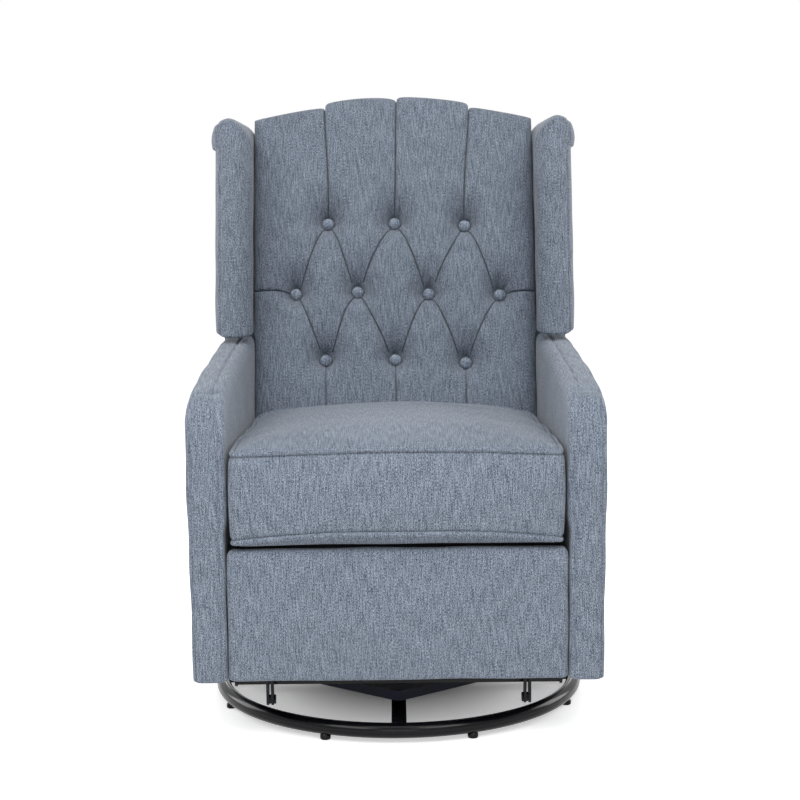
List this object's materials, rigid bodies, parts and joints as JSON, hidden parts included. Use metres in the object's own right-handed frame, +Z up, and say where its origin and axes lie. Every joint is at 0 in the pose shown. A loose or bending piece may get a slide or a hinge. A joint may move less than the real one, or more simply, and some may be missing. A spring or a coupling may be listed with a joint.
{
  "type": "swivel glider recliner",
  "caption": "Upholstered wing-back recliner with tufted back, folding footrest and a glide mechanism that swivels on a ring base.",
  "frame": {"origin": "middle of the bounding box in X and Y, on the floor", "axes": "+Z up, -Y the way the sitter faces, +X to the right as seen from in front of the chair"},
  "size_m": [0.6838, 0.8362, 1.088],
  "materials": {
    "heather_blue_fabric": "matte heather weave",
    "black_gloss_steel": "gloss black",
    "dark_steel": "satin black",
    "zinc_steel": "zinc plated",
    "plywood": "bare sanded"
  },
  "bodies": {
    "base": {"base_ring": "black_gloss_steel", "base_cross": "black_gloss_steel", "lower_race": "zinc_steel", "ball_cage": "zinc_steel", "kingpin": "zinc_steel"},
    "swivel_frame": {"upper_race": "zinc_steel", "swivel_plate": "dark_steel", "left_glider_bracket": "dark_steel", "right_glider_bracket": "dark_steel"},
    "front_glide_links": {"left_front_glide_link": "dark_steel", "right_front_glide_link": "dark_steel"},
    "rear_glide_links": {"left_rear_glide_link": "dark_steel", "right_rear_glide_link": "dark_steel"},
    "carriage": {"left_side_rail": "dark_steel", "right_side_rail": "dark_steel", "front_cross_tube": "dark_steel", "rear_cross_tube": "dark_steel", "front_stretcher": "black_gloss_steel", "left_arm": "heather_blue_fabric", "right_arm": "heather_blue_fabric", "rear_apron": "heather_blue_fabric"},
    "front_seat_links": {"left_front_seat_link": "dark_steel", "right_front_seat_link": "dark_steel"},
    "rear_seat_links": {"left_rear_seat_link": "dark_steel", "right_rear_seat_link": "dark_steel"},
    "seat": {"left_seat_plate": "dark_steel", "right_seat_plate": "dark_steel", "seat_frame": "plywood", "seat_cushion": "heather_blue_fabric"},
    "back": {"left_back_bracket": "dark_steel", "right_back_bracket": "dark_steel", "back_board": "plywood", "back_cushion": "heather_blue_fabric", "back_panel": "heather_blue_fabric", "left_wing": "heather_blue_fabric", "right_wing": "heather_blue_fabric", "tuft_button_1": "heather_blue_fabric", "tuft_button_2": "heather_blue_fabric", "tuft_button_3": "heather_blue_fabric", "tuft_button_4": "heather_blue_fabric", "tuft_button_5": "heather_blue_fabric", "tuft_button_6": "heather_blue_fabric", "tuft_button_7": "heather_blue_fabric", "tuft_button_8": "heather_blue_fabric", "tuft_button_9": "heather_blue_fabric", "tuft_button_10": "heather_blue_fabric"},
    "front_levers": {"left_front_lever": "dark_steel", "right_front_lever": "dark_steel"},
    "shin_levers": {"left_shin_lever": "dark_steel", "right_shin_lever": "dark_steel"},
    "rear_levers": {"left_rear_lever": "dark_steel", "right_rear_lever": "dark_steel"},
    "brace_levers": {"left_brace_lever": "dark_steel", "right_brace_lever": "dark_steel"},
    "footrest": {"left_footrest_bracket": "dark_steel", "right_footrest_bracket": "dark_steel", "footrest_board": "plywood", "footrest_pad": "heather_blue_fabric"}
  },
  "joints": [
    {"name": "swivel", "type": "hinge", "parent": "base", "child": "swivel_frame", "pos_m": [0, -0.06008, 0], "axis": [0, 0, 1], "continuous": true},
    {"name": "glide", "type": "hinge", "parent": "swivel_frame", "child": "front_glide_links", "pos_m": [0, -0.19008, 0.21], "axis": [1, 0, 0], "range_deg": [-25, 25]},
    {"name": "rear_glide", "type": "hinge", "parent": "swivel_frame", "child": "rear_glide_links", "pos_m": [0, 0.06992, 0.21], "axis": [1, 0, 0], "range_deg": [-25, 25]},
    {"name": "carriage_level", "type": "hinge", "parent": "front_glide_links", "child": "carriage", "pos_m": [0, -0.19008, 0.105], "axis": [1, 0, 0], "range_deg": [-25, 25]},
    {"name": "back_recline", "type": "hinge", "parent": "carriage", "child": "back", "pos_m": [0, 0.13992, 0.4], "axis": [-1, 0, 0], "range_deg": [0, 35]},
    {"name": "front_seat_link_turn", "type": "hinge", "parent": "carriage", "child": "front_seat_links", "pos_m": [0, -0.26508, 0.215], "axis": [1, 0, 0], "range_deg": [0, 45]},
    {"name": "rear_seat_link_turn", "type": "hinge", "parent": "carriage", "child": "rear_seat_links", "pos_m": [0, 0.14992, 0.215], "axis": [1, 0, 0], "range_deg": [0, 45]},
    {"name": "seat_level", "type": "hinge", "parent": "front_seat_links", "child": "seat", "pos_m": [0, -0.23127, 0.28751], "axis": [1, 0, 0], "range_deg": [-45, 0]},
    {"name": "footrest_raise", "type": "hinge", "parent": "seat", "child": "front_levers", "pos_m": [0, -0.32618, 0.2597], "axis": [-1, 0, 0], "range_deg": [0, 95.24]},
    {"name": "rear_lever_turn", "type": "hinge", "parent": "seat", "child": "rear_levers", "pos_m": [0, -0.29208, 0.2894], "axis": [-1, 0, 0], "range_deg": [0, 87.08]},
    {"name": "shin_turn", "type": "hinge", "parent": "front_levers", "child": "shin_levers", "pos_m": [0, -0.34058, 0.109], "axis": [1, 0, 0], "range_deg": [0, 141.53]},
    {"name": "brace_turn", "type": "hinge", "parent": "rear_levers", "child": "brace_levers", "pos_m": [0, -0.32068, 0.0577], "axis": [1, 0, 0], "range_deg": [0, 132.82]},
    {"name": "footrest_turn", "type": "hinge", "parent": "shin_levers", "child": "footrest", "pos_m": [0, -0.35268, 0.2597], "axis": [-1, 0, 0], "range_deg": [0, 133.27]}
  ],
  "couplings": [
    {"joint": "rear_glide", "follows": "glide", "ratio": 1},
    {"joint": "carriage_level", "follows": "glide", "ratio": -1},
    {"joint": "front_seat_link_turn", "follows": "back_recline", "ratio": 1.2857},
    {"joint": "rear_seat_link_turn", "follows": "back_recline", "ratio": 1.2857},
    {"joint": "seat_level", "follows": "back_recline", "ratio": -1.2857},
    {"joint": "rear_lever_turn", "follows": "footrest_raise", "ratio": 0.90907},
    {"joint": "shin_turn", "follows": "footrest_raise", "ratio": 1.4808},
    {"joint": "brace_turn", "follows": "footrest_raise", "ratio": 1.3893},
    {"joint": "footrest_turn", "follows": "footrest_raise", "ratio": 1.3941}
  ]
}
